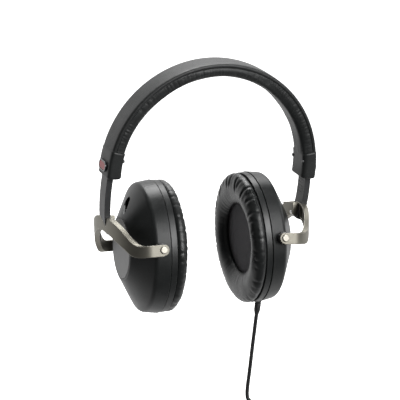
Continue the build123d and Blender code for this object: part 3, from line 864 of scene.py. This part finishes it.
def hank_turns():
    """Points of the folded cord about the hank's middle: four outer turns, then inner ones back."""
    slant = math.sqrt(0.5)
    points = [(0.2, -0.4, 31.5), (2.8, -3.8, 29.0)]
    passes = [(OUTER_FOLD, OUTER_TIED, layer) for layer in (0, 1, 2, 3)]
    passes += [(INNER_FOLD, INNER_TIED, layer) for layer in (3, 2, 1, 0)]
    for number, (fold, pinch, layer) in enumerate(passes):
        y = PLAIT[layer]
        last = number == len(passes) - 1
        points.append((slant * fold, y, FOLD_TOP + slant * fold))
        run = hank_side(1, True, fold, pinch, layer)
        if last:
            points += run[:4] + [(1.0, -2.9, -9.5), (0.2, -0.8, -16.5), (0.0, 0.0, -23.0)]
            break
        points += run
        points += [(slant * fold, y, FOLD_LOW - slant * fold), (0, y, FOLD_LOW - fold),
                   (-slant * fold, y, FOLD_LOW - slant * fold)]
        points += hank_side(-1, False, fold, pinch, layer)
        points.append((-slant * fold, y, FOLD_TOP + slant * fold))
        after_fold, _, after = passes[number + 1]
        lower = min(fold, after_fold)
        points.append((0, (y + PLAIT[after]) / 2, FOLD_TOP + lower))
    return points


RELIEF_R = 2.45
RELIEF_ROUND = 40
CORD_JACKET_R = 1.5


def relief_sleeve():
    """Strain relief turned to a profile: a plain stub, three shallow grooves, and a short taper."""
    low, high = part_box("strain_relief")
    axis = (low + high) / 2
    tall = (high.z - low.z) / MM
    stub = RELIEF_R
    profile = [(stub + 0.5, tall), (stub + 0.5, tall - 2.4)]
    profile += [(stub + 0.35, tall - 2.7), (stub, tall - 2.9)]
    for drop in (5.2, 7.2, 9.2):
        profile += [(stub, tall - drop + 0.35), (stub - 0.25, tall - drop + 0.2)]
        profile += [(stub - 0.25, tall - drop - 0.2), (stub, tall - drop - 0.35)]
    profile += [(stub, 3.9), (stub - 0.12, 3.4)]
    profile += [(CORD_JACKET_R + 0.2, 0.5), (CORD_JACKET_R + 0.02, 0.0)]
    rows = []
    for radius, height in profile:
        row = []
        for step in range(RELIEF_ROUND):
            turn = 2 * math.pi * step / RELIEF_ROUND
            row.append(Vector((
                axis.x + radius * MM * math.cos(turn), axis.y + radius * MM * math.sin(turn),
                low.z + height * MM,
            )))
        rows.append(row)
    return grid_mesh("relief_sleeve", rows, cap_ends=True)


class HEADPHONES_OT_cord(bpy.types.Operator):
    """Cord hanging from the left cup, folded into a tied hank with its plug below"""

    bl_idname = "headphones.cord"
    bl_label = "Cord"

    def execute(self, context):
        diameter = context.scene.headphone_sizes.cord_diameter
        low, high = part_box("strain_relief")
        exit_point = Vector(((low.x + high.x) / 2, (low.y + high.y) / 2, low.z))
        hank_low, hank_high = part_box("cord_hank")
        middle = (hank_low + hank_high) / 2
        plug_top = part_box("plug_relief")[1].z
        points = [exit_point + Vector(step) * MM for step in CORD_RUN]
        points += [middle + Vector(step) * MM for step in hank_turns()]
        points.append(Vector((middle.x, middle.y, plug_top)))
        line = bpy.data.curves.new("cord", "CURVE")
        line.dimensions = "3D"
        spline = line.splines.new("NURBS")
        spline.points.add(len(points) - 1)
        for point, place in zip(spline.points, points):
            point.co = (*place, 1.0)
        spline.order_u = 3
        spline.use_endpoint_u = True
        spline.resolution_u = 8
        line.bevel_depth = diameter / 2
        line.bevel_resolution = 5
        line.use_fill_caps = True
        cord = bpy.data.objects.new("cord", line)
        context.scene.collection.objects.link(cord)
        line.materials.append(finish_of("cord rubber"))
        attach(cord, "cup_left")
        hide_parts("cord_lead", "cord_hank")
        relief = relief_sleeve()
        wear(relief, "cord rubber")
        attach(relief, "cup_left")
        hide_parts("strain_relief")
        return {"FINISHED"}


# ---- stage ----
VIEW_TURN = math.radians(-23.87)
VIEW_LIFT = math.radians(16.88)
VIEW_ROLL = math.radians(6.71)
VIEW_DISTANCE = 1.4
VIEW_LENS = 168.89
VIEW_TARGET_DROP = 85.0
VIEW_SHIFT = (-5.39, -11.13)
FLOOR_GAP = 0.02             # metres from the lowest piece down to the floor
FLOOR_GRID = (-6, -2, 2, 6)  # metres


def view_axes():
    """Camera right, up and back directions."""
    back = Vector((
        math.sin(VIEW_TURN) * math.cos(VIEW_LIFT),
        -math.cos(VIEW_TURN) * math.cos(VIEW_LIFT),
        math.sin(VIEW_LIFT),
    ))
    level = Vector((math.cos(VIEW_TURN), math.sin(VIEW_TURN), 0))
    over = back.cross(level)
    right = level * math.cos(VIEW_ROLL) + over * math.sin(VIEW_ROLL)
    up = over * math.cos(VIEW_ROLL) - level * math.sin(VIEW_ROLL)
    return right, up, back


def aimed(name, data, place, target, up=None):
    """Add a camera or light at a place, looking at a target."""
    thing = bpy.data.objects.new(name, data)
    bpy.context.scene.collection.objects.link(thing)
    back = (place - target).normalized()
    over = up or Vector((0, 0, 1))
    right = over.cross(back).normalized()
    over = back.cross(right)
    turn = Matrix((right, over, back)).transposed().to_4x4()
    thing.matrix_world = Matrix.Translation(place) @ turn
    return thing


# each soft light: direction as camera right, up and back, distance, size, power
LIGHTS = {
    "overhead": ((0.05, 1.0, -0.15), 1.2, 0.9, 17.0),
    "front_right": ((0.66, 0.20, 0.72), 1.6, 0.9, 24.0),
}


class HEADPHONES_OT_stage(bpy.types.Operator):
    """Camera, soft lights, pale surroundings and floor"""

    bl_idname = "headphones.stage"
    bl_label = "Stage"

    def execute(self, context):
        scene = context.scene
        right, up, back = view_axes()
        target = Vector((0, 0, -VIEW_TARGET_DROP)) + VIEW_SHIFT[0] * right + VIEW_SHIFT[1] * up
        target *= MM
        lens = bpy.data.cameras.new("camera")
        lens.lens = VIEW_LENS
        lens.sensor_width = 36
        lens.clip_start, lens.clip_end = 0.05, 60
        scene.camera = aimed("camera", lens, target + back * VIEW_DISTANCE, target, up)
        for name, (way, distance, size, power) in LIGHTS.items():
            lamp = bpy.data.lights.new(name, "AREA")
            lamp.shape = "SQUARE"
            lamp.size = size
            lamp.energy = power
            direction = (way[0] * right + way[1] * up + way[2] * back).normalized()
            aimed(name, lamp, target + direction * distance, target)
        self.surroundings(scene)
        self.floor()
        scene.view_settings.view_transform = "Standard"
        return {"FINISHED"}

    def surroundings(self, scene):
        """White to the eye; as light, bright paper behind and a dim room in front."""
        world = bpy.data.worlds.new("surroundings")
        scene.world = world
        world.use_nodes = True
        tree = world.node_tree
        tree.nodes.clear()
        seen = add(tree, "ShaderNodeBackground", {"Color": (1, 1, 1, 1), "Strength": 1.0})
        light = add(tree, "ShaderNodeBackground", {"Color": (1, 1, 1, 1)})
        way = add(tree, "ShaderNodeTexCoord")
        behind = add(tree, "ShaderNodeVectorMath", operation="DOT_PRODUCT")
        behind.inputs[1].default_value = -view_axes()[2]
        fade = add(tree, "ShaderNodeMapRange", {
            "From Min": -0.3, "From Max": 0.45, "To Min": scene.headphone_sizes.dim_side,
            "To Max": scene.headphone_sizes.bright_side,
        }, interpolation_type="SMOOTHSTEP")
        tree.links.new(way.outputs["Generated"], behind.inputs[0])
        tree.links.new(behind.outputs["Value"], fade.inputs["Value"])
        tree.links.new(fade.outputs[0], light.inputs["Strength"])
        ray = add(tree, "ShaderNodeLightPath")
        mix = add(tree, "ShaderNodeMixShader")
        out = add(tree, "ShaderNodeOutputWorld")
        tree.links.new(ray.outputs["Is Camera Ray"], mix.inputs[0])
        tree.links.new(light.outputs[0], mix.inputs[1])
        tree.links.new(seen.outputs[0], mix.inputs[2])
        tree.links.new(mix.outputs[0], out.inputs[0])

    def floor(self):
        """A broad white sheet below everything, bright enough to lose its far edge."""
        height = CAD_BOX[0].z - FLOOR_GAP
        rows = [[Vector((x, y, height)) for x in FLOOR_GRID] for y in FLOOR_GRID]
        floor = grid_mesh("floor", rows, close_rows=False)
        material, _, shader = new_finish("Floor paper", Roughness=0.9)
        shader.inputs["Base Color"].default_value = (0.9, 0.9, 0.9, 1)
        shader.inputs["Emission Color"].default_value = (1, 1, 1, 1)
        shader.inputs["Emission Strength"].default_value = 0.9
        floor.data.materials.append(material)
        floor.visible_diffuse = False
        floor.visible_glossy = False
        floor.visible_shadow = False


# ---- properties and panel ----
class HeadphoneSizes(bpy.types.PropertyGroup):
    pad_half_width: FloatProperty(
        name="Pad half width", description="Half of an ear pad's width", default=0.0402,
        unit="LENGTH")
    pad_half_height: FloatProperty(
        name="Pad half height", description="Half of an ear pad's height", default=0.0488,
        unit="LENGTH")
    opening_half_width: FloatProperty(
        name="Opening half width", description="Half of the pad opening's width", default=0.0255,
        unit="LENGTH")
    opening_half_height: FloatProperty(
        name="Opening half height", description="Half of the pad opening's height", default=0.0268,
        unit="LENGTH")
    pad_fill: FloatProperty(
        name="Pad fill", description="Pressure of the filling in an ear pad", default=4.0)
    band_fill: FloatProperty(
        name="Band fill", description="Pressure of the filling in the headband", default=4.0)
    cord_diameter: FloatProperty(
        name="Cord diameter", description="Outside diameter of the cord", default=0.003,
        unit="LENGTH")
    bright_side: FloatProperty(
        name="Bright side", description="Light that comes from the paper behind the headphones",
        default=1.0)
    dim_side: FloatProperty(
        name="Dim side", description="Light that comes from the room in front", default=0.12)


def colour_property(name, description, default):
    """A colour that the panel can change."""
    return FloatVectorProperty(
        name=name, description=description, default=default, size=3, subtype="COLOR", min=0, max=1)


class HeadphoneColours(bpy.types.PropertyGroup):
    leatherette: colour_property("Leatherette", "Band and pad covering", (0.010, 0.0115, 0.0115))
    plastic: colour_property("Plastic", "Cup shells and sleeves", (0.009, 0.0105, 0.0105))
    yoke_metal: colour_property("Yoke metal", "Nickel on the yokes", (0.21, 0.20, 0.17))
    right_mark: colour_property(
        "Right mark", "Insert that marks the right side", (0.45, 0.02, 0.03))
    cord: colour_property("Cord", "Jacket of the cord", (0.016, 0.016, 0.017))
    ear_cloth: colour_property("Ear cloth", "Cloth inside the pads", (0.026, 0.021, 0.031))


STEPS = ("stage", "cord", "headband", "sliders", "cups", "ear_pads")


class HEADPHONES_PT_panel(bpy.types.Panel):
    """Sizes, colours and build steps of the headphones"""

    bl_label = "Headphones"
    bl_idname = "HEADPHONES_PT_panel"
    bl_space_type = "VIEW_3D"
    bl_region_type = "UI"
    bl_category = "Headphones"

    def draw(self, context):
        for group in (context.scene.headphone_sizes, context.scene.headphone_colours):
            for name in group.__annotations__:
                self.layout.prop(group, name)
        for step in STEPS:
            self.layout.operator("headphones." + step)


CLASSES = (
    HeadphoneSizes,
    HeadphoneColours,
    HEADPHONES_OT_stage,
    HEADPHONES_OT_cord,
    HEADPHONES_OT_headband,
    HEADPHONES_OT_sliders,
    HEADPHONES_OT_cups,
    HEADPHONES_OT_ear_pads,
    HEADPHONES_PT_panel,
)


def register():
    """Register the classes and put the sizes and colours on the scene."""
    for each in CLASSES:
        bpy.utils.register_class(each)
    bpy.types.Scene.headphone_sizes = PointerProperty(type=HeadphoneSizes)
    bpy.types.Scene.headphone_colours = PointerProperty(type=HeadphoneColours)


def unregister():
    """Take everything off again."""
    del bpy.types.Scene.headphone_colours
    del bpy.types.Scene.headphone_sizes
    for each in reversed(CLASSES):
        bpy.utils.unregister_class(each)


def main():
    """Build every piece around the frame."""
    register()
    for step in STEPS:
        getattr(bpy.ops.headphones, step)()


if __name__ == "__main__":
    main()
